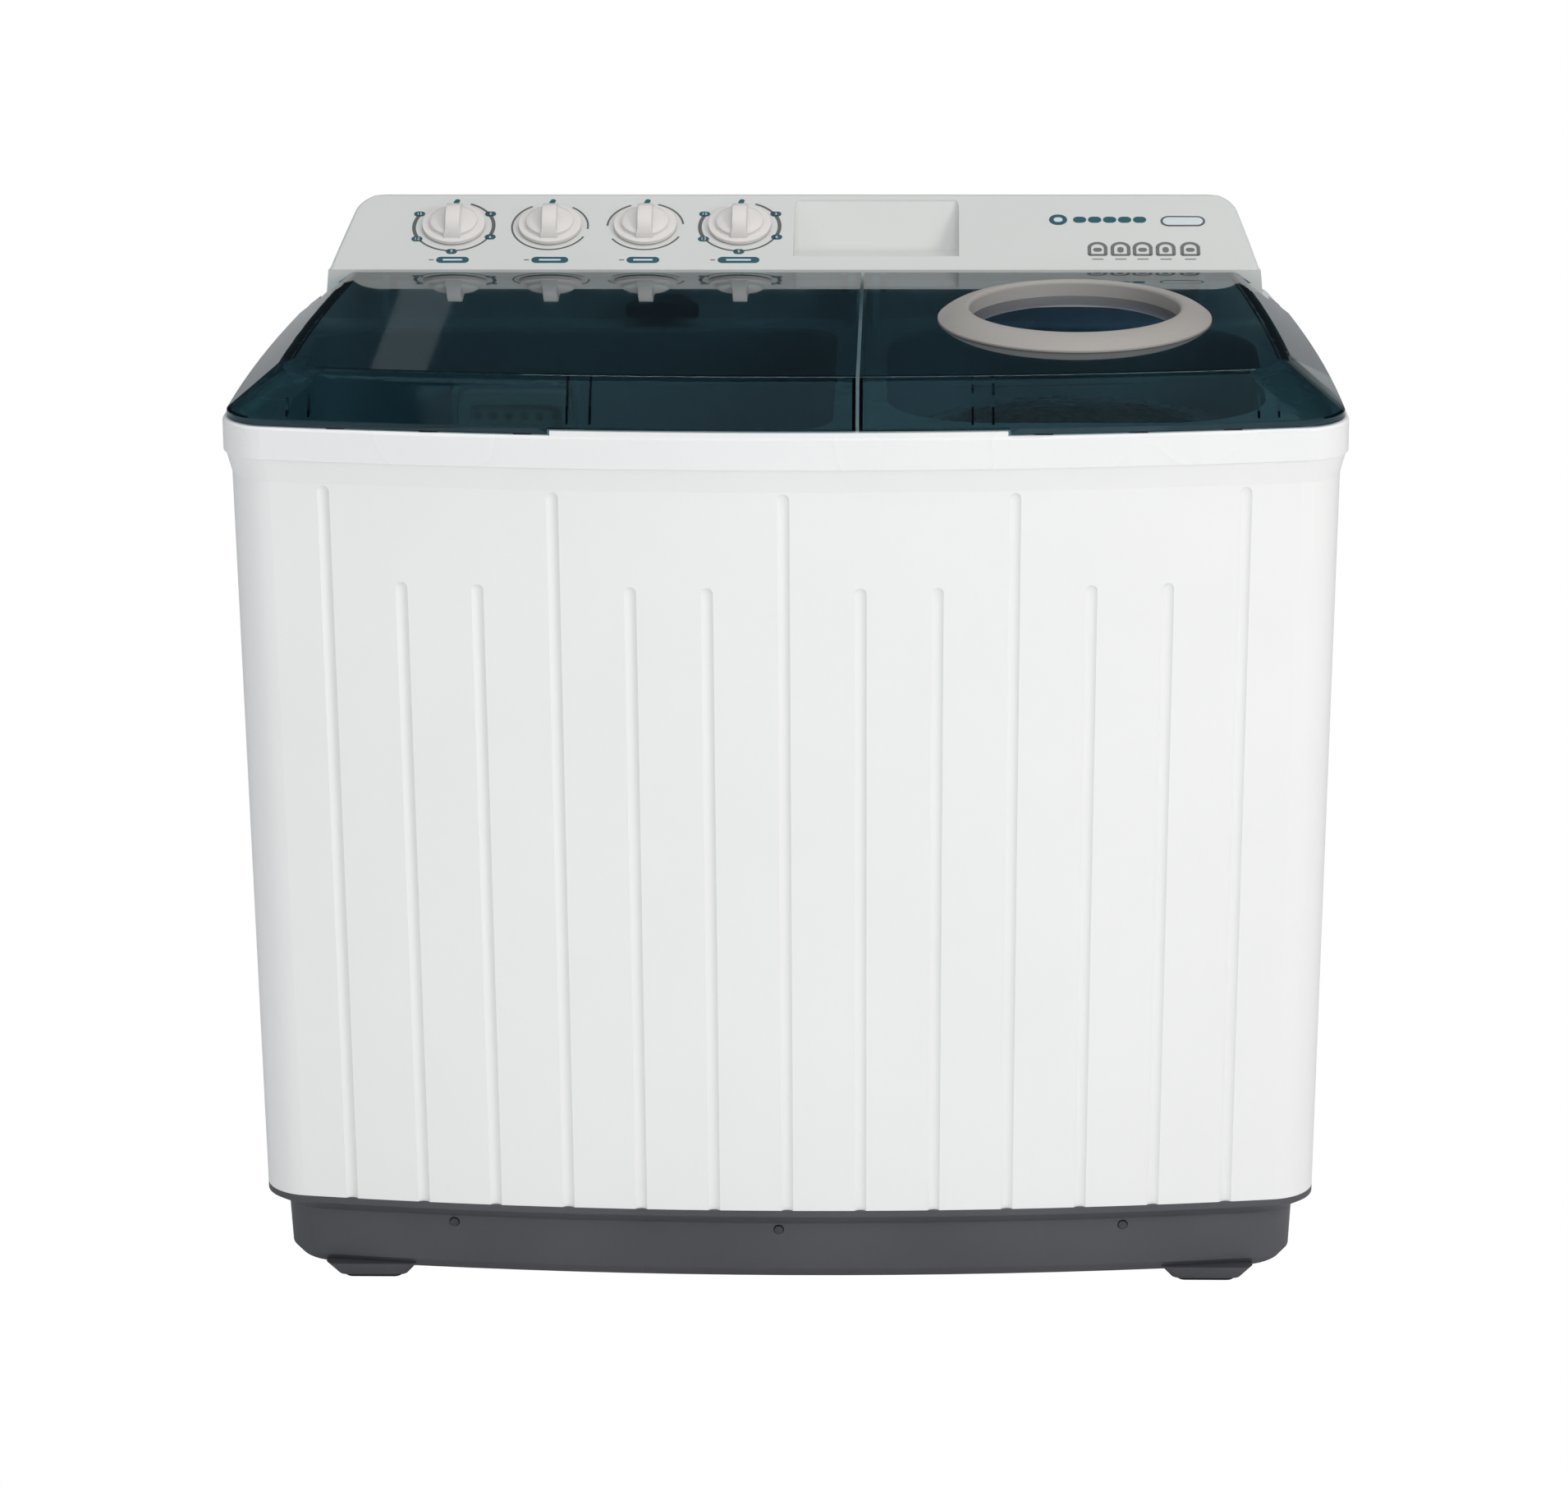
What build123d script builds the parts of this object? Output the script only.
from build123d import *
import os
from math import cos, radians, sin, sqrt

# Twin tub washer: a wash tub with a pulsator on the left, a spin tub with a basket on the right.
# Millimetres. Origin on the floor under the middle of the machine, front towards -Y, +Z up.

# ---------------------------------------------------------------- driving dimensions
HALF_DEPTH = 280.0
FRONT_HALF_WIDTH = 482.0      # where the front arc and the side arc would meet
MIDDLE_HALF_WIDTH = 467.0
REAR_HALF_WIDTH = 428.0
FRONT_BOW_RADIUS = 2934.0     # plan radius of the bowed front
FRONT_CORNER = 42.0
REAR_CORNER = 46.0

PAD_TOP = 4.0
BASE_BOTTOM = 13.0
CABINET_BOTTOM = 84.0
SHOULDER_Z = 742.0
CABINET_TOP = 763.0
DECK_BOTTOM = 781.0
DECK_TOP = 785.0
RIM_TOP = 791.0
LID_BOTTOM = 792.0
LID_TOP = 834.0
REAR_INSET = 14.0             # the cabinet's flat back stands this far inside the rim

LID_WALL = 3.0
LID_REAR_Y = 148.0
LID_EDGE_RADIUS = 12.0        # rolled rear edge of a lid, centred on its hinge axis
HINGE_Y = LID_REAR_Y - LID_EDGE_RADIUS
HINGE_Z = LID_TOP - LID_EDGE_RADIUS
LID_SPLIT_X = 62.8
LID_GAP = 3.0

FACE_TILT = 24.0              # control panel, from the horizontal
FACE_FRONT_Y = 152.0
FACE_FRONT_Z = 833.0
FACE_LENGTH = 111.0
CONSOLE_FRONT_Y = 150.5
CONSOLE_REAR_INSET = 19.0
CONSOLE_WALL = 3.0
KNOB_X = {"wash_timer": -312.6, "wash_selector": -224.4, "drain_selector": -137.1, "spin_timer": -50.6}
KNOB_UP_FACE = 64.0
KNOB_RADIUS = 28.5
SHAFT_RADIUS = 3.0
RUNNING_GAP = 0.05

WASH_X, WASH_Y = -194.0, -56.0
WASH_WIDTH, WASH_DEPTH = 476.0, 348.0
WASH_FLOOR_Z = 262.0
TUB_WALL = 3.0
TUB_DRAFT = 18.0
SPIN_X, SPIN_Y = 250.5, -36.0
SPIN_SIZE = 334.0
SPIN_FLOOR_Z = 236.0
BASKET_RADIUS = 140.0
BASKET_BOTTOM = 262.0
BASKET_TOP = 738.0
RING_OUTER, RING_INNER = 120.0, 92.5

os.makedirs("parts", exist_ok=True)


# ---------------------------------------------------------------- shared shapes
def front_y(x, inset=0.0):
    """Y of the bowed front at x, drawn inward by inset."""
    return -HALF_DEPTH + inset + FRONT_BOW_RADIUS - sqrt(FRONT_BOW_RADIUS**2 - x**2)


def outline(side, front, rear=REAR_INSET, rear_corner=REAR_CORNER):
    """Plan outline of the machine, drawn inward on its sides, front and rear."""
    x_front = FRONT_HALF_WIDTH - side
    x_middle = MIDDLE_HALF_WIDTH - side
    x_rear = REAR_HALF_WIDTH - side
    y_front = front_y(x_front, front)
    y_rear = HALF_DEPTH - rear
    with BuildSketch() as plan:
        with BuildLine():
            ThreePointArc((-x_front, y_front), (0, -HALF_DEPTH + front), (x_front, y_front))
            ThreePointArc((x_front, y_front), (x_middle, 0), (x_rear, y_rear))
            Line((x_rear, y_rear), (-x_rear, y_rear))
            ThreePointArc((-x_rear, y_rear), (-x_middle, 0), (-x_front, y_front))
        make_face()
        fillet(plan.vertices().group_by(Axis.Y)[0], FRONT_CORNER)
        fillet(plan.vertices().group_by(Axis.Y)[-1], rear_corner)
    return plan.sketch


def stacked(*sections):
    """Solid with straight walls through (plan, height) sections, from one to the next."""
    with BuildPart() as block:
        for plan, height in sections:
            with BuildSketch(Plane.XY.offset(height)):
                add(plan)
        loft(ruled=True)
    return block.part


def side_profile(points, x_low, x_high):
    """Solid with the given (y, z) profile between two x positions."""
    with BuildPart() as block:
        with BuildSketch(Plane.YZ.offset(x_low)):
            with BuildLine():
                Polyline(*points, close=True)
            make_face()
        extrude(amount=x_high - x_low)
    return block.part


def span_box(x, y, z):
    """Box between two limits on each axis."""
    centre = ((x[0] + x[1]) / 2, (y[0] + y[1]) / 2, (z[0] + z[1]) / 2)
    return Pos(*centre) * Box(x[1] - x[0], y[1] - y[0], z[1] - z[0])


def rounded_plan(x, y, width, depth, corner):
    """Rounded rectangle in plan."""
    with BuildSketch() as plan:
        with Locations((x, y)):
            RectangleRounded(width, depth, corner)
    return plan.sketch


def ring_solid(x, y, outer, inner, low, high):
    """Plain round tube on a vertical axis."""
    with BuildPart() as tube:
        with BuildSketch(Plane.XY.offset(low)):
            with Locations((x, y)):
                Circle(outer)
                Circle(inner, mode=Mode.SUBTRACT)
        extrude(amount=high - low)
    return tube.part


def hose(points, bend, outer, inner):
    """Hose along straight runs joined by round bends."""
    with BuildPart() as tube:
        with BuildLine() as route:
            FilletPolyline(*points, radius=bend)
        with BuildSketch(Plane(origin=route.line @ 0, z_dir=route.line % 0)):
            Circle(outer)
            Circle(inner, mode=Mode.SUBTRACT)
        sweep()
    return tube.part


def finish(builder, name):
    """Label a finished piece and write it out."""
    builder.part.label = name
    export_step(builder.part, f"parts/{name}.step")


face_plane = Plane(
    origin=(0, FACE_FRONT_Y, FACE_FRONT_Z),
    x_dir=(1, 0, 0),
    z_dir=(0, -sin(radians(FACE_TILT)), cos(radians(FACE_TILT))),
)


def on_face(x, up, out=0.0):
    """Plane parallel to the control panel, at a place on it and a height out of it."""
    return Plane(
        origin=face_plane.from_local_coords((x, up, out)), x_dir=face_plane.x_dir, z_dir=face_plane.z_dir
    )


# ---------------------------------------------------------------- base and feet
BASE_WALL = 5.0
FOOT_X, FOOT_FRONT_Y, FOOT_REAR_Y = 371.0, -200.0, 196.0
DRAIN_X, DRAIN_Y = -137.1, 215.0
DRAIN_HOSE_RADIUS = 16.0
HOSE_ROOM = 6.0               # room round the outlet for a push-on hose
OUTLET_Z = 42.0
SCREW_RADIUS, SCREW_HEAD_RADIUS, SCREW_HEAD_HEIGHT = 2.0, 4.5, 2.4
BASE_SCREW_X, BASE_SCREW_Z, BASE_SCREW_INSET = (-296, -8, 296), 60.0, 31.2

base_outside = stacked(
    (outline(41, 38, 36), BASE_BOTTOM),
    (outline(35, 32, 30), 22),
    (outline(33, 30, 28), 66),
    (outline(20, 18.5, 17), 75),
    (outline(16, 15, 14), 78),
    (outline(16, 15, 14), CABINET_BOTTOM),
)
base_inside = stacked(
    (outline(42, 39, 37), BASE_BOTTOM + BASE_WALL),
    (outline(39, 36, 34), CABINET_BOTTOM + 1),
)
foot_places = [(x, y) for x in (-FOOT_X, FOOT_X) for y in (FOOT_FRONT_Y, FOOT_REAR_Y)]

with BuildPart() as base:
    add(base_outside)
    for x, y in foot_places:
        for height, width, depth in ((PAD_TOP, 62, 46), (BASE_BOTTOM + 4, 82, 60)):
            with BuildSketch(Plane.XY.offset(height)):
                with Locations((x, y)):
                    RectangleRounded(width, depth, 8)
        loft(ruled=True)
    add(base_inside, mode=Mode.SUBTRACT)
    with BuildSketch(Plane(origin=(DRAIN_X, 230, OUTLET_Z), z_dir=(0, 1, 0))):
        Circle(DRAIN_HOSE_RADIUS + HOSE_ROOM)
    extrude(amount=40, mode=Mode.SUBTRACT)
    for x in BASE_SCREW_X:
        seat = Plane(origin=(x, front_y(x, BASE_SCREW_INSET), BASE_SCREW_Z), z_dir=(0, -1, 0))
        with BuildSketch(seat):
            Circle(SCREW_HEAD_RADIUS)
        extrude(amount=8, mode=Mode.SUBTRACT)
        with Locations(Location(seat.origin, (90, 0, 0))):
            Cylinder(SCREW_RADIUS, 4 * BASE_WALL, mode=Mode.SUBTRACT)
finish(base, "base")

with BuildPart() as rubber_feet:
    for x, y in foot_places:
        for height, width, depth in ((0, 50, 36), (PAD_TOP, 54, 40)):
            with BuildSketch(Plane.XY.offset(height)):
                with Locations((x, y)):
                    RectangleRounded(width, depth, 7)
        loft(ruled=True)
finish(rubber_feet, "rubber_feet")

# ---------------------------------------------------------------- cabinet
CABINET_WALL = 4.0
FOOT_INSET, SHOULDER_INSET, TOP_INSET = 15.0, 6.0, 1.5
GROOVE_SPACING = 196.5
GROOVE_WIDTH, GROOVE_DEPTH = 10.5, 2.3
GROOVE_RADIUS = (GROOVE_WIDTH**2 / 4 + GROOVE_DEPTH**2) / (2 * GROOVE_DEPTH)
GROOVE_CONVERGENCE = 0.983    # grooves lean inward towards the bottom with the cabinet's sides
LONG_GROOVE_TOP, SHORT_GROOVE_TOP = 735.0, 652.0
BACK_WIDTH, BACK_LOW, BACK_HIGH = 640.0, 112.0, 640.0
GLAND_X, GLAND_Z = 330.0, 700.0


def cabinet_block(wall):
    """The cabinet's outer form, or its inside when wall is its thickness."""
    return stacked(
        (outline(FOOT_INSET + 1 + wall, FOOT_INSET + wall, REAR_INSET + wall), CABINET_BOTTOM),
        (outline(SHOULDER_INSET + 0.5 + wall, SHOULDER_INSET + wall, REAR_INSET + wall), SHOULDER_Z),
        (outline(TOP_INSET + wall, TOP_INSET + wall, REAR_INSET + wall), CABINET_TOP),
    )


groove_tops = []
for step in range(-6, 7):
    top_z = LONG_GROOVE_TOP if step % 3 == 0 else SHORT_GROOVE_TOP
    groove_tops.append((step * GROOVE_SPACING / 3, top_z))

cabinet_outside = cabinet_block(0)
cabinet_inside = cabinet_block(CABINET_WALL)
with BuildPart() as cabinet:
    add(cabinet_outside)
    add(cabinet_inside, mode=Mode.SUBTRACT)
    for x_top, z_top in groove_tops:
        x_low = x_top * GROOVE_CONVERGENCE
        reach = (z_top - CABINET_BOTTOM) / (SHOULDER_Z - CABINET_BOTTOM)
        inset_top = FOOT_INSET + (SHOULDER_INSET - FOOT_INSET) * reach
        out = GROOVE_RADIUS - GROOVE_DEPTH
        low = Vector(x_low, front_y(x_low, FOOT_INSET) - out, CABINET_BOTTOM)
        top = Vector(x_top, front_y(x_top, inset_top) - out, z_top)
        along = (top - low).normalized()
        with BuildSketch(Plane(origin=low - along * 5, z_dir=along)):
            Circle(GROOVE_RADIUS)
        extrude(amount=(top - low).length + 5, mode=Mode.SUBTRACT)
        with Locations(top):
            Sphere(GROOVE_RADIUS, mode=Mode.SUBTRACT)
    with BuildSketch(Plane(origin=(0, 240, (BACK_LOW + BACK_HIGH) / 2), x_dir=(1, 0, 0), z_dir=(0, 1, 0))):
        RectangleRounded(BACK_WIDTH, BACK_HIGH - BACK_LOW, 20)
    extrude(amount=50, mode=Mode.SUBTRACT)
    with BuildSketch(Plane(origin=(GLAND_X, 240, GLAND_Z), z_dir=(0, 1, 0))):
        Circle(8)
    extrude(amount=50, mode=Mode.SUBTRACT)
finish(cabinet, "cabinet")

# ---------------------------------------------------------------- back cover, its screws, the cord's gland
BACK_Y = HALF_DEPTH - REAR_INSET
COVER_THICK = 2.0
COVER_MARGIN = 22.0
cover_middle_z = (BACK_LOW + BACK_HIGH) / 2
cover_screw_places = [
    (x, cover_middle_z + z)
    for x in (-(BACK_WIDTH / 2 + 12), 0, BACK_WIDTH / 2 + 12)
    for z in (-(BACK_HIGH - BACK_LOW) / 2 - 12, (BACK_HIGH - BACK_LOW) / 2 + 12)
]
back_plane = Plane(origin=(0, BACK_Y, 0), x_dir=(1, 0, 0), z_dir=(0, -1, 0))

with BuildPart() as back_cover:
    with BuildSketch(back_plane):
        with Locations((0, cover_middle_z)):
            RectangleRounded(BACK_WIDTH + 2 * COVER_MARGIN, BACK_HIGH - BACK_LOW + 2 * COVER_MARGIN, 24)
    extrude(amount=-COVER_THICK)
    for rib_x in (-210, -70, 70, 210):
        with BuildSketch(back_plane.offset(-COVER_THICK)):
            with Locations((rib_x, cover_middle_z + 40)):
                SlotOverall(360, 26, rotation=90)
        extrude(amount=-3, taper=20)
    with BuildSketch(back_plane):
        with Locations((0, BACK_LOW + 58)):
            with GridLocations(52, 12, 10, 6):
                SlotOverall(40, 5)
        with Locations(*cover_screw_places):
            Circle(SCREW_RADIUS)
    extrude(amount=-12, mode=Mode.SUBTRACT)
finish(back_cover, "back_cover")

with BuildPart() as cord_gland:
    with BuildSketch(Plane.XZ.offset(-BACK_Y + CABINET_WALL)):
        with Locations((GLAND_X, GLAND_Z)):
            Circle(8)
            Circle(3.6, mode=Mode.SUBTRACT)
    extrude(amount=-(CABINET_WALL + 9))
    with BuildSketch(Plane.XZ.offset(-BACK_Y)):
        with Locations((GLAND_X, GLAND_Z)):
            Circle(12)
            Circle(3.6, mode=Mode.SUBTRACT)
    extrude(amount=-3)
finish(cord_gland, "cord_gland")

# ---------------------------------------------------------------- top frame
RIM_WALL = 4.0
RIM_BAND = 14.0
STRIP_LEFT, STRIP_RIGHT, STRIP_HEIGHT = -197.0, 190.0, 4.0
LUG_THICK = 6.0
LUG_RADIUS = 7.0
HINGE_PIN_RADIUS = 3.0
EAR_GAP = 0.6
lugs = {"wash": ((-372.0, 1), (50.0, -1)), "spin": ((72.0, 1), (366.0, -1))}
lug_post = [    # stands forward of the hinge, out of the way of the lid's rear edge as it swings down
    (HINGE_Y - LUG_RADIUS, HINGE_Z), (HINGE_Y - 16, DECK_TOP - 1), (HINGE_Y - 3.5, DECK_TOP - 1),
    (HINGE_Y - 3.5, HINGE_Z),
]
WASH_OPENING = (WASH_X, WASH_Y, WASH_WIDTH - 2 * TUB_WALL, WASH_DEPTH - 2 * TUB_WALL, 42)
SPIN_OPENING = (SPIN_X, SPIN_Y, SPIN_SIZE - 2 * TUB_WALL, SPIN_SIZE - 2 * TUB_WALL, 90)

frame_outside = stacked((outline(0, 0, 0), CABINET_TOP), (outline(0, 0, 0), RIM_TOP))
frame_under = stacked(
    (outline(RIM_WALL, RIM_WALL, RIM_WALL), CABINET_TOP - 1),
    (outline(RIM_WALL, RIM_WALL, RIM_WALL), DECK_BOTTOM),
)
frame_pocket = stacked(
    (outline(RIM_BAND, RIM_BAND, RIM_BAND), DECK_TOP), (outline(RIM_BAND, RIM_BAND, RIM_BAND), RIM_TOP + 1)
)
strip_outside = stacked((outline(1, 1, 0), RIM_TOP - 1), (outline(1.6, 1.6, 0), RIM_TOP + STRIP_HEIGHT))
strip_inside = stacked((outline(9, 9, 9), RIM_TOP - 2), (outline(9, 9, 9), RIM_TOP + STRIP_HEIGHT + 1))
strip_limits = span_box((STRIP_LEFT, STRIP_RIGHT), (-300, -240), (RIM_TOP - 0.5, RIM_TOP + STRIP_HEIGHT + 2))
front_strip = (strip_outside - strip_inside) & strip_limits

with BuildPart() as top_frame:
    add(frame_outside)
    fillet(top_frame.edges().group_by(Axis.Z)[-1], 2.5)
    add(frame_under, mode=Mode.SUBTRACT)
    add(frame_pocket, mode=Mode.SUBTRACT)
    add(front_strip)
    for x, y, width, depth, corner in (WASH_OPENING, SPIN_OPENING):
        with BuildSketch(Plane.XY.offset(DECK_BOTTOM - 1)):
            with Locations((x, y)):
                RectangleRounded(width, depth, corner)
        extrude(amount=10, mode=Mode.SUBTRACT)
    with BuildSketch(Plane.XY.offset(DECK_BOTTOM - 1)):
        with Locations((0, 210)):
            RectangleRounded(760, 84, 20)
    extrude(amount=10, mode=Mode.SUBTRACT)
    for x_low, _ in lugs["wash"] + lugs["spin"]:
        with BuildSketch(Plane.YZ.offset(x_low)):
            with Locations((HINGE_Y, HINGE_Z)):
                Circle(LUG_RADIUS)
            with BuildLine():
                Polyline(*lug_post, close=True)
            make_face()
            with Locations((HINGE_Y, HINGE_Z)):
                Circle(HINGE_PIN_RADIUS + RUNNING_GAP, mode=Mode.SUBTRACT)
        extrude(amount=LUG_THICK)
finish(top_frame, "top_frame")

with BuildPart() as lid_bumpers:
    for x in (-380, -300, -220, 220, 300, 380):
        with BuildSketch(Plane.XY.offset(RIM_TOP)):
            with Locations((x, front_y(x, 5.5))):
                RectangleRounded(16, 3, 1.4)
        extrude(amount=0.7)
finish(lid_bumpers, "lid_bumpers")

# ---------------------------------------------------------------- lids
LID_SIDE_SLOPE, LID_FRONT_SLOPE = 48.0, 33.0
LID_LIP = 5.0
CREST_RADIUS = 20.0
RIB_THICK = 2.0
ribs = {"wash": (-422.0, -403.5, -182.7, -163.2), "spin": (160.0, 177.4, 402.0, 419.0)}
EAR_RADIUS = 8.0


def lid_block(wall):
    """Both lids' outer form in one piece, or their inside when wall is their thickness."""
    with BuildPart() as dome:
        for height, side, front in (
            (LID_BOTTOM - wall, 3, 3),
            (LID_BOTTOM + LID_LIP, 3.5, 3.5),
            (LID_TOP - wall, 3 + LID_SIDE_SLOPE, 3 + LID_FRONT_SLOPE),
        ):
            with BuildSketch(Plane.XY.offset(height)):
                add(outline(side + wall, front + wall, 0))
        loft(ruled=True)
        fillet(dome.edges().group_by(Axis.Z)[-1], CREST_RADIUS - wall)
    with BuildPart() as reach:
        with BuildSketch(Plane.YZ.offset(-500)):
            with BuildLine():
                rear = LID_REAR_Y - wall
                top = LID_TOP - wall
                Polyline(
                    (rear, HINGE_Z), (rear, LID_BOTTOM - 2), (-300, LID_BOTTOM - 2), (-300, top),
                    (HINGE_Y, top),
                )
                RadiusArc((HINGE_Y, top), (rear, HINGE_Z), LID_EDGE_RADIUS - wall)
            make_face()
        extrude(amount=1000)
    return dome.part & reach.part


lid_outside = lid_block(0)
lid_inside = lid_block(LID_WALL)
rear_opening = side_profile(
    [(120, LID_BOTTOM - 5), (120, LID_TOP - 8), (HINGE_Y, LID_TOP - LID_WALL - 1),
     (LID_REAR_Y - LID_WALL, HINGE_Z), (LID_REAR_Y + 5, HINGE_Z), (LID_REAR_Y + 5, LID_BOTTOM - 5)],
    -430, 430,
)
rear_corners = span_box((-500, 500), (HINGE_Y - 2, LID_REAR_Y + 5), (LID_BOTTOM - 5, 802))
strip_notch = span_box(
    (STRIP_LEFT - 2, STRIP_RIGHT + 2), (-300, -258), (LID_BOTTOM - 2, RIM_TOP + STRIP_HEIGHT + 1.2)
)
half_gap = LID_GAP / 2
lid_spans = {"wash": (-500, LID_SPLIT_X - half_gap), "spin": (LID_SPLIT_X + half_gap, 500)}


def lid_shell(which):
    """One lid as a thin shell, with its stiffening ribs and its hinge ears."""
    low, high = lid_spans[which]
    limits = span_box((low, high), (-400, 400), (700, 900))
    inner_limits = span_box((low + LID_WALL, high - LID_WALL), (-400, 400), (700, 900))
    inner_rear = rear_opening & inner_limits
    rib_solids = []
    for x in ribs[which]:
        rib_low, rib_high = x - RIB_THICK / 2, x + RIB_THICK / 2
        rib_block = span_box((rib_low, rib_high), (-300, -228), (LID_BOTTOM + 7, LID_TOP + 6))
        rib_solids.append(lid_inside & rib_block)
    with BuildPart() as shell:
        add(lid_outside)
        add(limits, mode=Mode.INTERSECT)
        add(lid_inside & inner_limits, mode=Mode.SUBTRACT)
        add(inner_rear, mode=Mode.SUBTRACT)
        add(rear_corners, mode=Mode.SUBTRACT)
        add(strip_notch, mode=Mode.SUBTRACT)
        for rib in rib_solids:
            add(rib)
        for lug_low, side in lugs[which]:
            ear_low = lug_low + LUG_THICK + EAR_GAP if side > 0 else lug_low - EAR_GAP - LUG_THICK
            with BuildSketch(Plane.YZ.offset(ear_low)):
                with Locations((HINGE_Y, HINGE_Z)):
                    Circle(EAR_RADIUS)
                with Locations((HINGE_Y, (HINGE_Z + LID_TOP - 2) / 2)):
                    Rectangle(11, LID_TOP - 2 - HINGE_Z)
                with Locations((HINGE_Y, HINGE_Z)):
                    Circle(HINGE_PIN_RADIUS, mode=Mode.SUBTRACT)
            extrude(amount=LUG_THICK)
    return shell.part


def hinge_pins(which):
    """The two pins of a lid, each through an ear and its lug."""
    with BuildPart() as pins:
        for lug_low, side in lugs[which]:
            pin_low = lug_low - 2 if side > 0 else lug_low - EAR_GAP - LUG_THICK - 1
            with BuildSketch(Plane.YZ.offset(pin_low)):
                with Locations((HINGE_Y, HINGE_Z)):
                    Circle(HINGE_PIN_RADIUS)
            extrude(amount=2 * LUG_THICK + EAR_GAP + 3)
    return pins.part


wash_lid_shell = lid_shell("wash")
with BuildPart() as wash_lid:
    add(wash_lid_shell)
finish(wash_lid, "wash_lid")

spin_lid_shell = lid_shell("spin")
WINDOW_HOLE = 108.0
with BuildPart() as spin_lid:
    add(spin_lid_shell)
    with BuildSketch(Plane.XY.offset(LID_TOP - 10)):
        with Locations((SPIN_X, SPIN_Y)):
            Circle(WINDOW_HOLE)
    extrude(amount=20, mode=Mode.SUBTRACT)
finish(spin_lid, "spin_lid")

for which in ("wash", "spin"):
    pin_pair = hinge_pins(which)
    with BuildPart() as lid_pins:
        add(pin_pair)
    finish(lid_pins, f"{which}_lid_pins")

RING_TOP = LID_TOP + 12.0
GLASS_Z = 829.0
spin_axis_plane = Plane(origin=(SPIN_X, SPIN_Y, 0), x_dir=(1, 0, 0), z_dir=(0, -1, 0))
spin_axis = Axis((SPIN_X, SPIN_Y, 0), (0, 0, 1))
with BuildPart() as spin_lid_ring:
    with BuildSketch(spin_axis_plane):
        with BuildLine():
            Line((WINDOW_HOLE, GLASS_Z - 3), (WINDOW_HOLE, LID_TOP))
            Line((WINDOW_HOLE, LID_TOP), (RING_OUTER, LID_TOP))
            Line((RING_OUTER, LID_TOP), (RING_OUTER, LID_TOP + 1.5))
            ThreePointArc((RING_OUTER, LID_TOP + 1.5), (109, RING_TOP - 3.4), (96.5, RING_TOP))
            ThreePointArc((96.5, RING_TOP), (93.6, RING_TOP - 0.9), (RING_INNER, RING_TOP - 3.5))
            Line((RING_INNER, RING_TOP - 3.5), (RING_INNER, GLASS_Z))
            Line((RING_INNER, GLASS_Z), (88, GLASS_Z))
            Line((88, GLASS_Z), (88, GLASS_Z - 3))
            Line((88, GLASS_Z - 3), (WINDOW_HOLE, GLASS_Z - 3))
        make_face()
    revolve(axis=spin_axis)
finish(spin_lid_ring, "spin_lid_ring")

GLASS_RISE, GLASS_THICK = 6.0, 3.0
with BuildPart() as spin_lid_window:
    with BuildSketch(spin_axis_plane):
        with BuildLine():
            edge = RING_INNER - 0.1
            dome_radius = (edge**2 + GLASS_RISE**2) / (2 * GLASS_RISE)
            crown = GLASS_Z + GLASS_RISE
            Line((0, crown), (0, crown + GLASS_THICK))
            RadiusArc((0, crown + GLASS_THICK), (edge, GLASS_Z + GLASS_THICK), dome_radius)
            Line((edge, GLASS_Z + GLASS_THICK), (edge, GLASS_Z))
            RadiusArc((edge, GLASS_Z), (0, crown), -dome_radius)
        make_face()
    revolve(axis=spin_axis)
finish(spin_lid_window, "spin_lid_window")

# ---------------------------------------------------------------- console
RECESS_X = (-1.0, 150.0)
INLET_X, INLET_Z = 250.0, 812.0
SPOUT_Z = 802.0
INLET_PIPE_RADIUS = 9.0
SPOUT_X = -118.0
CONSOLE_REAR_Y = HALF_DEPTH - CONSOLE_REAR_INSET
face_rise = FACE_LENGTH * sin(radians(FACE_TILT))
face_run = FACE_LENGTH * cos(radians(FACE_TILT))
CONSOLE_SCREW_X, CONSOLE_SCREW_Z = (-330, -110, 110, 330), 800.0


def console_block(wall):
    """The console's outer form, or its inside when wall is its thickness."""
    walls = stacked(
        (outline(20 + wall, 0, CONSOLE_REAR_INSET + wall, 34), DECK_TOP - wall),
        (outline(30 + wall, 0, CONSOLE_REAR_INSET + wall, 30), 890),
    )
    drop_y, drop_z = wall * sin(radians(FACE_TILT)), wall * cos(radians(FACE_TILT))
    profile = side_profile(
        [(CONSOLE_FRONT_Y + wall, DECK_TOP - 5),
         (CONSOLE_FRONT_Y + wall, FACE_FRONT_Z - drop_z),
         (FACE_FRONT_Y + drop_y, FACE_FRONT_Z - drop_z),
         (FACE_FRONT_Y + face_run + drop_y, FACE_FRONT_Z + face_rise - drop_z),
         (HALF_DEPTH, FACE_FRONT_Z + face_rise + 0.5 - wall),
         (HALF_DEPTH, DECK_TOP - 5)],
        -500, 500,
    )
    return walls & profile


def recess_block(wall):
    """Hollow of the open tray beside the dials, or the tray's outer form when wall is its thickness."""
    with BuildPart() as hollow:
        with BuildSketch(Plane.YZ.offset(RECESS_X[0] - wall)):
            with BuildLine():
                Polyline(
                    (170 - wall, 870 + wall), (170 - wall, 836 - wall), (214 + wall, 836 - wall),
                    (247.5 + wall, 874 + wall), (250 + wall, 890 + wall), (170 - wall, 890 + wall),
                    close=True,
                )
            make_face()
        extrude(amount=RECESS_X[1] - RECESS_X[0] + 2 * wall)
        floor_back = hollow.edges().filter_by(Axis.X).sort_by_distance((75, 214 + wall, 836 - wall))[0]
        fillet(floor_back, 12)
        fillet(hollow.edges().group_by(Axis.Z)[0].filter_by(Axis.Y), 6)
    return hollow.part


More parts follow.
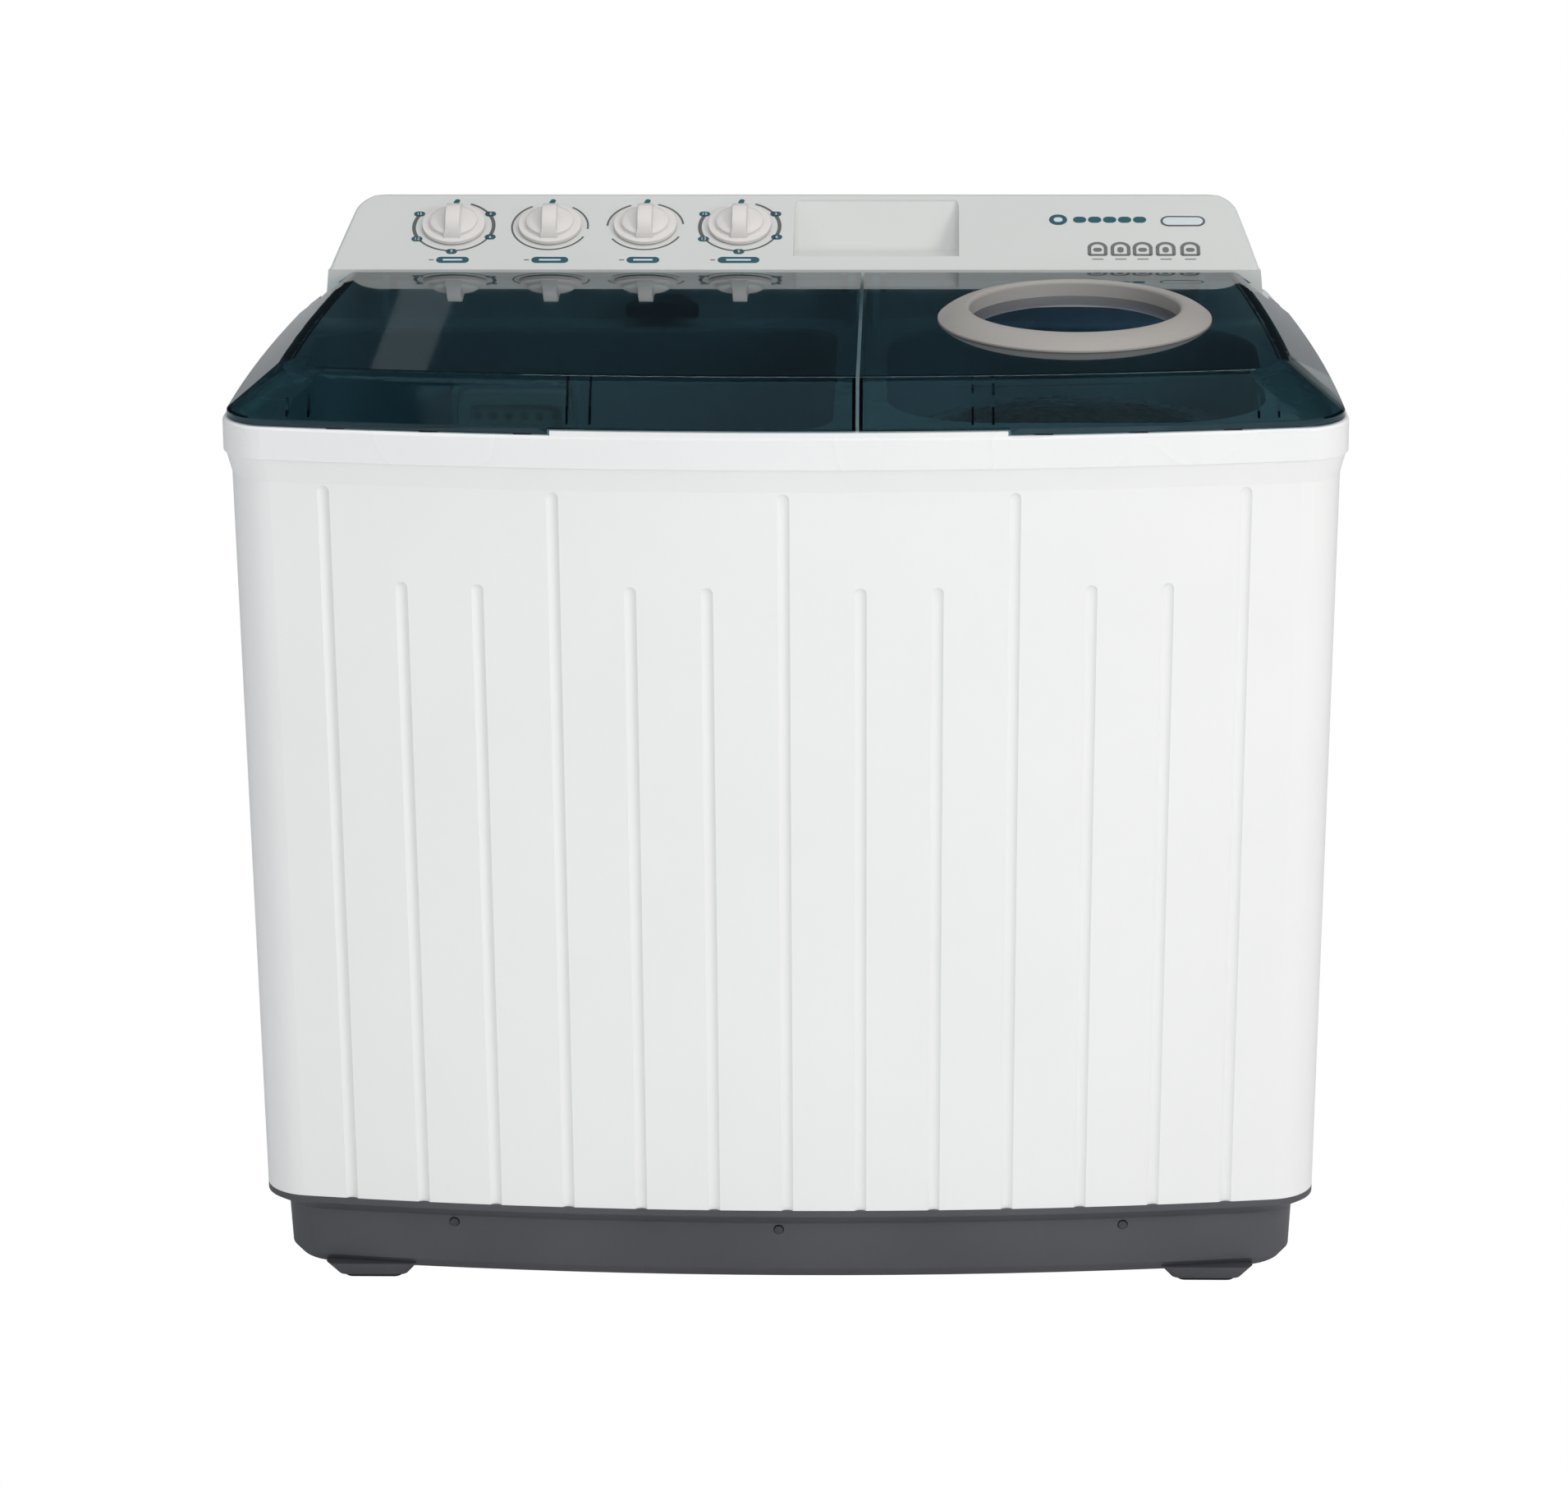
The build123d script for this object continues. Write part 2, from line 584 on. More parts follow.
console_outside = console_block(0)
console_inside = console_block(CONSOLE_WALL)
tray_outside = recess_block(2.5) & console_outside
tray_inside = recess_block(0)

with BuildPart() as console:
    add(console_outside)
    soft_edges = console.edges().filter_by(lambda edge: edge.center().Z > FACE_FRONT_Z + 2)
    fillet(soft_edges.filter_by(lambda edge: edge.center().Y > FACE_FRONT_Y + 5), 3.5)
    add(console_inside, mode=Mode.SUBTRACT)
    add(tray_outside)
    add(tray_inside, mode=Mode.SUBTRACT)
    with BuildSketch(face_plane.offset(2)):
        with Locations(*[(x, KNOB_UP_FACE) for x in KNOB_X.values()]):
            Circle(5)
    extrude(amount=-10, mode=Mode.SUBTRACT)
    with BuildSketch(Plane(origin=(INLET_X, 240, INLET_Z), z_dir=(0, 1, 0))):
        Circle(11)
    extrude(amount=40, mode=Mode.SUBTRACT)
    with BuildSketch(Plane(origin=(SPOUT_X, 140, SPOUT_Z), z_dir=(0, 1, 0))):
        Circle(6)
    extrude(amount=16, mode=Mode.SUBTRACT)
    for x in CONSOLE_SCREW_X:
        with BuildSketch(Plane(origin=(x, 240, CONSOLE_SCREW_Z), z_dir=(0, 1, 0))):
            Circle(SCREW_RADIUS)
        extrude(amount=40, mode=Mode.SUBTRACT)
finish(console, "console")

case_screws_at = [
    Plane(origin=(x, front_y(x, BASE_SCREW_INSET), BASE_SCREW_Z), z_dir=(0, -1, 0)) for x in BASE_SCREW_X
]
for x, z in cover_screw_places:
    case_screws_at.append(Plane(origin=(x, BACK_Y + COVER_THICK, z), z_dir=(0, 1, 0)))
for x in CONSOLE_SCREW_X:
    case_screws_at.append(Plane(origin=(x, CONSOLE_REAR_Y, CONSOLE_SCREW_Z), z_dir=(0, 1, 0)))
with BuildPart() as case_screws:
    for seat in case_screws_at:
        with BuildSketch(seat):
            Circle(SCREW_HEAD_RADIUS)
        extrude(amount=SCREW_HEAD_HEIGHT, taper=20)
        with BuildSketch(seat):
            Circle(SCREW_RADIUS)
        extrude(amount=-COVER_THICK)
finish(case_screws, "case_screws")

# ---------------------------------------------------------------- knobs, shafts and what they turn
KNOB_LIFT = 1.2               # gap between the panel and a knob's skirt
SKIRT_HEIGHT, DOME_HEIGHT, GRIP_HEIGHT = 5.0, 12.0, 21.0
SHAFT_OUT, SHAFT_IN = 14.0, -36.0
control_boxes = {
    "wash_timer": ("wash_timer", 56, 56, 34),
    "wash_selector": ("wash_selector_switch", 40, 40, 26),
    "drain_selector": ("drain_selector_bracket", 44, 34, 22),
    "spin_timer": ("spin_timer", 48, 56, 34),
}
for control, x in KNOB_X.items():
    knob_plane = on_face(x, KNOB_UP_FACE, KNOB_LIFT)
    with BuildPart() as knob:
        with BuildSketch(knob_plane):
            Circle(KNOB_RADIUS)
        extrude(amount=SKIRT_HEIGHT, taper=14)
        with BuildSketch(knob_plane.offset(SKIRT_HEIGHT - 0.5)):
            Circle(KNOB_RADIUS - 5.5)
        extrude(amount=DOME_HEIGHT - SKIRT_HEIGHT, taper=12)
        with BuildSketch(knob_plane.offset(SKIRT_HEIGHT - 1)):
            SlotOverall(2 * KNOB_RADIUS - 5, 16, rotation=90)
        extrude(amount=GRIP_HEIGHT - SKIRT_HEIGHT, taper=7)
        fillet(knob.faces().sort_by(Axis(knob_plane.origin, knob_plane.z_dir))[-1].edges(), 3)
        with BuildSketch(knob_plane):
            Circle(SHAFT_RADIUS)
        extrude(amount=SHAFT_OUT - KNOB_LIFT, mode=Mode.SUBTRACT)
    finish(knob, f"{control}_knob")
    with BuildPart() as shaft:
        with BuildSketch(on_face(x, KNOB_UP_FACE, SHAFT_IN)):
            Circle(SHAFT_RADIUS)
        extrude(amount=SHAFT_OUT - SHAFT_IN)
    finish(shaft, f"{control}_shaft")
    box_name, box_width, box_height, box_depth = control_boxes[control]
    with BuildPart() as control_box:
        with BuildSketch(on_face(x, KNOB_UP_FACE, -CONSOLE_WALL)):
            RectangleRounded(box_width, box_height, 4)
        extrude(amount=-box_depth)
        with BuildSketch(on_face(x, KNOB_UP_FACE, -CONSOLE_WALL)):
            Circle(SHAFT_RADIUS + RUNNING_GAP)
        extrude(amount=-box_depth, mode=Mode.SUBTRACT)
    finish(control_box, box_name)

# ---------------------------------------------------------------- water inlet
with BuildPart() as water_inlet_port:
    with BuildSketch(Plane(origin=(INLET_X, CONSOLE_REAR_Y, INLET_Z), z_dir=(0, 1, 0))):
        Circle(15)
        Circle(INLET_PIPE_RADIUS, mode=Mode.SUBTRACT)
    extrude(amount=3)
    with BuildSketch(Plane(origin=(INLET_X, CONSOLE_REAR_Y - CONSOLE_WALL, INLET_Z), z_dir=(0, 1, 0))):
        Circle(11)
        Circle(INLET_PIPE_RADIUS, mode=Mode.SUBTRACT)
    extrude(amount=CONSOLE_WALL)
    with BuildSketch(Plane(origin=(INLET_X, CONSOLE_REAR_Y + 3, INLET_Z), z_dir=(0, 1, 0))):
        Circle(13.2)
        Circle(INLET_PIPE_RADIUS, mode=Mode.SUBTRACT)
    extrude(amount=16)
finish(water_inlet_port, "water_inlet_port")

inlet_route = hose(
    [(INLET_X, CONSOLE_REAR_Y - CONSOLE_WALL, INLET_Z), (INLET_X, 188, INLET_Z), (SPOUT_X, 188, SPOUT_Z),
     (SPOUT_X, CONSOLE_FRONT_Y + CONSOLE_WALL, SPOUT_Z)],
    18, INLET_PIPE_RADIUS, INLET_PIPE_RADIUS - 2,
)
with BuildPart() as water_inlet_pipe:
    add(inlet_route)
finish(water_inlet_pipe, "water_inlet_pipe")

with BuildPart() as water_spout:
    for y, width in ((CONSOLE_FRONT_Y, 40), (116, 66)):
        with BuildSketch(Plane(origin=(SPOUT_X, y, SPOUT_Z - 1), x_dir=(1, 0, 0), z_dir=(0, 1, 0))):
            RectangleRounded(width, 14, 4)
    loft(ruled=True)
    for y, width in ((CONSOLE_FRONT_Y + 1, 34), (118.5, 60)):
        with BuildSketch(Plane(origin=(SPOUT_X, y, SPOUT_Z - 3.5), x_dir=(1, 0, 0), z_dir=(0, 1, 0))):
            RectangleRounded(width, 10, 2)
    loft(ruled=True, mode=Mode.SUBTRACT)
finish(water_spout, "water_spout")

# ---------------------------------------------------------------- wash tub
TUB_FLANGE = 8.0
WASH_FLOOR_THICK = 6.0
PULSATOR_RADIUS = 150.0
FILTER_X, FILTER_WIDTH = -250.0, 104.0
FILTER_LOW, FILTER_HIGH = 600.0, 745.0
RIB_LOW, RIB_HIGH = 330.0, 670.0
WASH_DRAIN_Z = 285.0


def tub_block(x, y, width, depth, corner, low, wall, draft=TUB_DRAFT):
    """Tapered tub form with rounded corners, open at the deck."""
    return stacked(
        (rounded_plan(x, y, width - 2 * (draft + wall), depth - 2 * (draft + wall), corner), low),
        (rounded_plan(x, y, width - 2 * wall, depth - 2 * wall, corner), DECK_BOTTOM),
    )


def wash_wall_at(height):
    """Distance of the wash tub's inner side wall from the tub's middle, at a height."""
    return WASH_WIDTH / 2 - TUB_WALL - TUB_DRAFT * (DECK_BOTTOM - height) / (DECK_BOTTOM - WASH_FLOOR_Z)


def wash_back_at(height):
    """Y of the wash tub's inner rear wall at a height."""
    return WASH_Y + wash_wall_at(height) - (WASH_WIDTH - WASH_DEPTH) / 2


filter_rails = []
for edge_x in (FILTER_X - FILTER_WIDTH / 2 - 5, FILTER_X + FILTER_WIDTH / 2 + 0.6):
    filter_rails.append(
        side_profile(
            [(84, FILTER_LOW - 6), (wash_back_at(FILTER_LOW - 6) + 1.5, FILTER_LOW - 6),
             (wash_back_at(FILTER_HIGH) + 1.5, FILTER_HIGH), (84, FILTER_HIGH)],
            edge_x, edge_x + 4.4,
        )
    )
filter_rails.append(
    span_box(
        (FILTER_X - FILTER_WIDTH / 2 - 5, FILTER_X + FILTER_WIDTH / 2 + 5),
        (84, wash_back_at(FILTER_LOW) + 1), (FILTER_LOW - 6, FILTER_LOW - 0.5),
    )
)
wash_outside = tub_block(WASH_X, WASH_Y, WASH_WIDTH, WASH_DEPTH, 45, WASH_FLOOR_Z, 0)
wash_inside = tub_block(
    WASH_X, WASH_Y, WASH_WIDTH, WASH_DEPTH, 42, WASH_FLOOR_Z + WASH_FLOOR_THICK, TUB_WALL
)
with BuildPart() as wash_tub:
    add(wash_outside)
    with BuildSketch(Plane.XY.offset(DECK_BOTTOM - 3)):
        with Locations((WASH_X, WASH_Y)):
            RectangleRounded(WASH_WIDTH + 2 * TUB_FLANGE, WASH_DEPTH + 2 * TUB_FLANGE, 50)
    extrude(amount=3)
    add(wash_inside, mode=Mode.SUBTRACT)
    with BuildSketch(Plane.XY.offset(WASH_FLOOR_Z - 1)):
        with Locations((WASH_X, WASH_Y)):
            Circle(22)
    extrude(amount=20, mode=Mode.SUBTRACT)
    with BuildSketch(Plane(origin=(DRAIN_X, 80, WASH_DRAIN_Z), z_dir=(0, 1, 0))):
        Circle(13)
    extrude(amount=40, mode=Mode.SUBTRACT)
    for side in (-1, 1):
        for rib_y in (-150, -103, -56, -9, 38):
            for height in (RIB_LOW, RIB_HIGH):
                with BuildSketch(Plane.XY.offset(height)):
                    with Locations((WASH_X + side * (wash_wall_at(height) - 1.5), rib_y)):
                        RectangleRounded(9, 14, 4)
            loft(ruled=True)
    for rail in filter_rails:
        add(rail)
finish(wash_tub, "wash_tub")

pulsator_seat = WASH_FLOOR_Z + WASH_FLOOR_THICK + 3
with BuildPart() as pulsator:
    with BuildSketch(Plane(origin=(WASH_X, WASH_Y, 0), x_dir=(1, 0, 0), z_dir=(0, -1, 0))):
        with BuildLine():
            Line((0, pulsator_seat + 2), (0, pulsator_seat + 40))
            Line((0, pulsator_seat + 40), (18, pulsator_seat + 40))
            Spline(
                (18, pulsator_seat + 40), (50, pulsator_seat + 18), (100, pulsator_seat + 8),
                (PULSATOR_RADIUS, pulsator_seat + 7),
            )
            Line((PULSATOR_RADIUS, pulsator_seat + 7), (PULSATOR_RADIUS, pulsator_seat + 2))
            Line((PULSATOR_RADIUS, pulsator_seat + 2), (0, pulsator_seat + 2))
        make_face()
    revolve(axis=Axis((WASH_X, WASH_Y, 0), (0, 0, 1)))
    for blade in range(6):
        angle = blade * 60
        blade_plane = Plane(
            origin=(WASH_X, WASH_Y, pulsator_seat + 4),
            x_dir=(cos(radians(angle)), sin(radians(angle)), 0),
            z_dir=(0, 0, 1),
        )
        with BuildSketch(blade_plane):
            with Locations((82, 0)):
                SlotOverall(122, 20)
        extrude(amount=22, taper=14)
    with BuildSketch(Plane.XY.offset(pulsator_seat)):
        with Locations((WASH_X, WASH_Y)):
            Circle(8)
    extrude(amount=26, mode=Mode.SUBTRACT)
finish(pulsator, "pulsator")

with BuildPart() as pulsator_screw:
    with BuildSketch(Plane.XY.offset(pulsator_seat + 40)):
        with Locations((WASH_X, WASH_Y)):
            Circle(9)
    extrude(amount=4, taper=15)
finish(pulsator_screw, "pulsator_screw")

with BuildPart() as lint_filter:
    filter_plane = Plane(
        origin=(FILTER_X, 99, (FILTER_LOW + FILTER_HIGH) / 2), x_dir=(1, 0, 0), z_dir=(0, -1, 0)
    )
    with BuildSketch(filter_plane):
        RectangleRounded(FILTER_WIDTH, FILTER_HIGH - FILTER_LOW, 14)
    extrude(amount=14)
    with BuildSketch(filter_plane.offset(14)):
        RectangleRounded(FILTER_WIDTH - 20, FILTER_HIGH - FILTER_LOW - 22, 8)
    extrude(amount=-10, mode=Mode.SUBTRACT)
    with BuildSketch(filter_plane.offset(4)):
        with GridLocations(14, 14, 6, 8):
            Circle(4)
    extrude(amount=-10, mode=Mode.SUBTRACT)
finish(lint_filter, "lint_filter")

OVERFLOW_X, OVERFLOW_Y = -384.0, 70.0
overflow_tube = ring_solid(OVERFLOW_X, OVERFLOW_Y, 15, 12, WASH_FLOOR_Z + WASH_FLOOR_THICK, 690)
with BuildPart() as overflow_pipe:
    add(overflow_tube)
finish(overflow_pipe, "overflow_pipe")

# ---------------------------------------------------------------- wash drive
PULLEY_Z = 145.0
PULLEY_HEIGHT = 18.0
GROOVE_FLOOR_WASH, GROOVE_FLOOR_MOTOR = 80.0, 22.0
BELT_THICK = 6.0
BELT_GAP = 0.5
MOTOR_X, MOTOR_Y = -350.0, 66.0
WASH_SHAFT_RADIUS, MOTOR_SHAFT_RADIUS = 8.0, 6.0
GEARBOX_LOW = 186.0


def pulley(x, y, groove_radius, bore):
    """Pulley with a flat-bottomed belt groove."""
    with BuildPart() as wheel:
        with BuildSketch(Plane.XY.offset(PULLEY_Z)):
            with Locations((x, y)):
                Circle(groove_radius + 8)
                Circle(bore, mode=Mode.SUBTRACT)
        extrude(amount=PULLEY_HEIGHT)
        groove_low = PULLEY_Z + 4
        with BuildSketch(Plane.XY.offset(groove_low)):
            with Locations((x, y)):
                Circle(groove_radius + 9)
                Circle(groove_radius, mode=Mode.SUBTRACT)
        extrude(amount=PULLEY_HEIGHT - 8, mode=Mode.SUBTRACT)
    return wheel.part


def shaft_solid(x, y, radius, low, high):
    """Plain round shaft on a vertical axis."""
    with BuildPart() as rod:
        with BuildSketch(Plane.XY.offset(low)):
            with Locations((x, y)):
                Circle(radius)
        extrude(amount=high - low)
    return rod.part


gearbox_bore = WASH_SHAFT_RADIUS + RUNNING_GAP
gearbox_flange = ring_solid(WASH_X, WASH_Y, 62, gearbox_bore, GEARBOX_LOW + 60, WASH_FLOOR_Z)
gearbox_body = ring_solid(WASH_X, WASH_Y, 50, gearbox_bore, GEARBOX_LOW, GEARBOX_LOW + 60)
gearbox_neck = ring_solid(WASH_X, WASH_Y, 22, gearbox_bore, WASH_FLOOR_Z, WASH_FLOOR_Z + 9)
with BuildPart() as gearbox:
    add([gearbox_body, gearbox_flange, gearbox_neck])
finish(gearbox, "gearbox")

wash_shaft_solid = shaft_solid(WASH_X, WASH_Y, WASH_SHAFT_RADIUS, PULLEY_Z - 4, pulsator_seat + 26)
with BuildPart() as wash_shaft:
    add(wash_shaft_solid)
finish(wash_shaft, "wash_shaft")

wash_wheel = pulley(WASH_X, WASH_Y, GROOVE_FLOOR_WASH, WASH_SHAFT_RADIUS)
with BuildPart() as wash_pulley:
    add(wash_wheel)
    with BuildSketch(Plane.XY.offset(PULLEY_Z - 1)):
        with Locations((WASH_X, WASH_Y)):
            with PolarLocations(46, 5):
                Circle(16)
    extrude(amount=PULLEY_HEIGHT + 2, mode=Mode.SUBTRACT)
finish(wash_pulley, "wash_pulley")

motor_wheel = pulley(MOTOR_X, MOTOR_Y, GROOVE_FLOOR_MOTOR, MOTOR_SHAFT_RADIUS)
with BuildPart() as motor_pulley:
    add(motor_wheel)
finish(motor_pulley, "motor_pulley")

with BuildPart() as drive_belt:
    with BuildSketch(Plane.XY.offset(PULLEY_Z + 4.5)):
        for grow, mode in ((BELT_GAP + BELT_THICK, Mode.ADD), (BELT_GAP, Mode.SUBTRACT)):
            with BuildSketch(mode=Mode.PRIVATE) as loop:
                with Locations((WASH_X, WASH_Y)):
                    Circle(GROOVE_FLOOR_WASH + grow)
                with Locations((MOTOR_X, MOTOR_Y)):
                    Circle(GROOVE_FLOOR_MOTOR + grow)
                make_hull()
            add(loop.sketch, mode=mode)
    extrude(amount=PULLEY_HEIGHT - 9)
finish(drive_belt, "drive_belt")

motor_body = ring_solid(MOTOR_X, MOTOR_Y, 58, MOTOR_SHAFT_RADIUS + RUNNING_GAP, 176, 250)
with BuildPart() as wash_motor:
    add(motor_body)
    fillet(wash_motor.edges().group_by(Axis.Z)[-1].sort_by(SortBy.LENGTH)[-1], 10)
    for low in (190, 202, 214, 226):
        with BuildSketch(Plane.XY.offset(low)):
            with Locations((MOTOR_X, MOTOR_Y)):
                Circle(60)
                Circle(54, mode=Mode.SUBTRACT)
        extrude(amount=5, mode=Mode.SUBTRACT)
finish(wash_motor, "wash_motor")

motor_shaft_solid = shaft_solid(MOTOR_X, MOTOR_Y, MOTOR_SHAFT_RADIUS, PULLEY_Z - 3, 246)
with BuildPart() as wash_motor_shaft:
    add(motor_shaft_solid)
finish(wash_motor_shaft, "wash_motor_shaft")

with BuildPart() as wash_motor_bracket:
    with BuildSketch(Plane.XY.offset(172)):
        with Locations((MOTOR_X, MOTOR_Y)):
            RectangleRounded(122, 122, 12)
            Circle(14, mode=Mode.SUBTRACT)
    extrude(amount=4)
    with BuildSketch(Plane.XY.offset(BASE_BOTTOM + BASE_WALL)):
        with Locations((MOTOR_X, MOTOR_Y)):
            with GridLocations(100, 100, 2, 2):
                Circle(7)
    extrude(amount=172 - BASE_BOTTOM - BASE_WALL)
finish(wash_motor_bracket, "wash_motor_bracket")

with BuildPart() as motor_capacitors:
    for x in (20, 72):
        with BuildSketch(Plane.XY.offset(BASE_BOTTOM + BASE_WALL)):
            with Locations((x, -150)):
                Circle(21)
        extrude(amount=64)
    fillet(motor_capacitors.edges().group_by(Axis.Z)[-1], 3)
finish(motor_capacitors, "motor_capacitors")

# ---------------------------------------------------------------- spin tub, basket and drive
SPIN_SHAFT_RADIUS = 12.0
DRUM_RADIUS = 66.0
MOTOR_PLATE_Z = 60.0
SPRING_RING = 84.0

spin_outside = tub_block(SPIN_X, SPIN_Y, SPIN_SIZE, SPIN_SIZE, 94, SPIN_FLOOR_Z, 0, 8)
spin_inside = tub_block(SPIN_X, SPIN_Y, SPIN_SIZE, SPIN_SIZE, 90, SPIN_FLOOR_Z + 4, TUB_WALL, 8)
with BuildPart() as spin_tub:
    add(spin_outside)
    with BuildSketch(Plane.XY.offset(DECK_BOTTOM - 3)):
        with Locations((SPIN_X, SPIN_Y)):
            RectangleRounded(SPIN_SIZE + 2 * TUB_FLANGE, SPIN_SIZE + 2 * TUB_FLANGE, 98)
    extrude(amount=3)
    add(spin_inside, mode=Mode.SUBTRACT)
    with BuildSketch(Plane.XY.offset(SPIN_FLOOR_Z - 1)):
        with Locations((SPIN_X, SPIN_Y)):
            Circle(34)
    extrude(amount=10, mode=Mode.SUBTRACT)
    with BuildSketch(Plane(origin=(200, 100, 262), z_dir=(0, 1, 0))):
        Circle(9)
    extrude(amount=60, mode=Mode.SUBTRACT)
finish(spin_tub, "spin_tub")

with BuildPart() as spin_shaft_seal:
    with BuildSketch(spin_axis_plane):
        with BuildLine():
            bore = SPIN_SHAFT_RADIUS + RUNNING_GAP
            Polyline(
                (bore, 222), (bore, 250), (18, 250), (22, 240.5), (42, 240.5), (42, 240), (34, 240),
                (34, 236),
                (30, 234), (26, 228), (20, 230), (17, 222), close=True,
            )
        make_face()
    revolve(axis=spin_axis)
finish(spin_shaft_seal, "spin_shaft_seal")

basket_holes = []
for row in range(8):
    for step in range(20):
        angle = radians(18 * step + 9 * (row % 2))
        outward = Vector(cos(angle), sin(angle), 0)
        hole_centre = Vector(SPIN_X, SPIN_Y, BASKET_BOTTOM + 50 + row * 50) + outward * BASKET_RADIUS
        basket_holes.append(Plane(origin=hole_centre, z_dir=outward))

with BuildPart() as spin_basket:
    with BuildSketch(spin_axis_plane):
        with BuildLine():
            Polyline(
                (SPIN_SHAFT_RADIUS, BASKET_BOTTOM), (BASKET_RADIUS - 14, BASKET_BOTTOM),
                (BASKET_RADIUS - 4, BASKET_BOTTOM + 6), (BASKET_RADIUS - 2, BASKET_BOTTOM + 16),
                (BASKET_RADIUS - 2, BASKET_TOP - 26), (BASKET_RADIUS + 4, BASKET_TOP - 24),
                (BASKET_RADIUS + 4, BASKET_TOP - 2), (BASKET_RADIUS + 2, BASKET_TOP),
                (BASKET_RADIUS - 16, BASKET_TOP), (BASKET_RADIUS - 20, BASKET_TOP - 4),
                (BASKET_RADIUS - 20, BASKET_TOP - 20), (BASKET_RADIUS - 4.5, BASKET_TOP - 32),
                (BASKET_RADIUS - 4.5, BASKET_BOTTOM + 16), (BASKET_RADIUS - 16, BASKET_BOTTOM + 5),
                (44, BASKET_BOTTOM + 5), (30, BASKET_BOTTOM + 34), (SPIN_SHAFT_RADIUS, BASKET_BOTTOM + 34),
                close=True,
            )
        make_face()
    revolve(axis=spin_axis)
    with Locations(*basket_holes):
        Cylinder(3.5, 16, mode=Mode.SUBTRACT)
finish(spin_basket, "spin_basket")

spin_shaft_solid = shaft_solid(SPIN_X, SPIN_Y, SPIN_SHAFT_RADIUS, MOTOR_PLATE_Z + 20, BASKET_BOTTOM + 40)
with BuildPart() as spin_shaft:
    add(spin_shaft_solid)
finish(spin_shaft, "spin_shaft")

drum_web = ring_solid(SPIN_X, SPIN_Y, DRUM_RADIUS, SPIN_SHAFT_RADIUS, 188, 196)
drum_rim = ring_solid(SPIN_X, SPIN_Y, DRUM_RADIUS, DRUM_RADIUS - 6, 190, 214)
drum_hub = ring_solid(SPIN_X, SPIN_Y, 22, SPIN_SHAFT_RADIUS, 190, 214)
with BuildPart() as brake_drum:
    add([drum_web, drum_rim, drum_hub])
finish(brake_drum, "brake_drum")

spin_motor_body = ring_solid(SPIN_X, SPIN_Y, 64, SPIN_SHAFT_RADIUS + RUNNING_GAP, MOTOR_PLATE_Z + 5, 172)
with BuildPart() as spin_motor:
    add(spin_motor_body)
    fillet(spin_motor.edges().group_by(Axis.Z)[-1].sort_by(SortBy.LENGTH)[-1], 10)
    for low in (92, 106, 120, 134):
        with BuildSketch(Plane.XY.offset(low)):
            with Locations((SPIN_X, SPIN_Y)):
                Circle(66)
                Circle(60, mode=Mode.SUBTRACT)
        extrude(amount=6, mode=Mode.SUBTRACT)
finish(spin_motor, "spin_motor")

PIVOT_X, PIVOT_Y = SPIN_X + 62.0, SPIN_Y - 72.0
PIVOT_RADIUS = 4.0
with BuildPart() as spin_motor_plate:
    with BuildSketch(Plane.XY.offset(MOTOR_PLATE_Z)):
        with Locations((SPIN_X, SPIN_Y)):
            Circle(108)
            Circle(16, mode=Mode.SUBTRACT)
        with Locations((PIVOT_X, PIVOT_Y)):
            Circle(PIVOT_RADIUS, mode=Mode.SUBTRACT)
    extrude(amount=5)
finish(spin_motor_plate, "spin_motor_plate")

with BuildPart() as spin_motor_springs:
    spring_low = BASE_BOTTOM + BASE_WALL + 2
    for place in range(3):
        angle = radians(90 + 120 * place)
        x, y = SPIN_X + SPRING_RING * cos(angle), SPIN_Y + SPRING_RING * sin(angle)
        with BuildLine() as coil:
            Helix(9, MOTOR_PLATE_Z - spring_low - 2, 14, center=(x, y, spring_low))
        with BuildSketch(Plane(origin=coil.line @ 0, z_dir=coil.line % 0)):
            Circle(1.9)
        sweep(path=coil.line, is_frenet=True)
finish(spin_motor_springs, "spin_motor_springs")

pivot_pin_solid = shaft_solid(PIVOT_X, PIVOT_Y, PIVOT_RADIUS, MOTOR_PLATE_Z, 214)
with BuildPart() as brake_pivot_pin:
    add(pivot_pin_solid)
finish(brake_pivot_pin, "brake_pivot_pin")

SHOE_GAP = 5.0                # lining to drum when the brake is off
with BuildPart() as brake_arm:
    with BuildSketch(Plane.XY.offset(196)):
        with Locations((PIVOT_X, PIVOT_Y)):
            Circle(10)
        with BuildLine():
            shoe_x, shoe_y = SPIN_X + DRUM_RADIUS + SHOE_GAP, SPIN_Y
            Polyline(
                (PIVOT_X + 6, PIVOT_Y + 7), (shoe_x, shoe_y - 12), (shoe_x, shoe_y + 14),
                (shoe_x + 10, shoe_y + 40), (shoe_x + 18, shoe_y + 40), (shoe_x + 12, shoe_y - 12),
                (PIVOT_X + 10, PIVOT_Y - 2), (PIVOT_X, PIVOT_Y), close=True,
            )
        make_face()
        with Locations((PIVOT_X, PIVOT_Y)):
            Circle(PIVOT_RADIUS + RUNNING_GAP, mode=Mode.SUBTRACT)
    extrude(amount=10)
finish(brake_arm, "brake_arm")

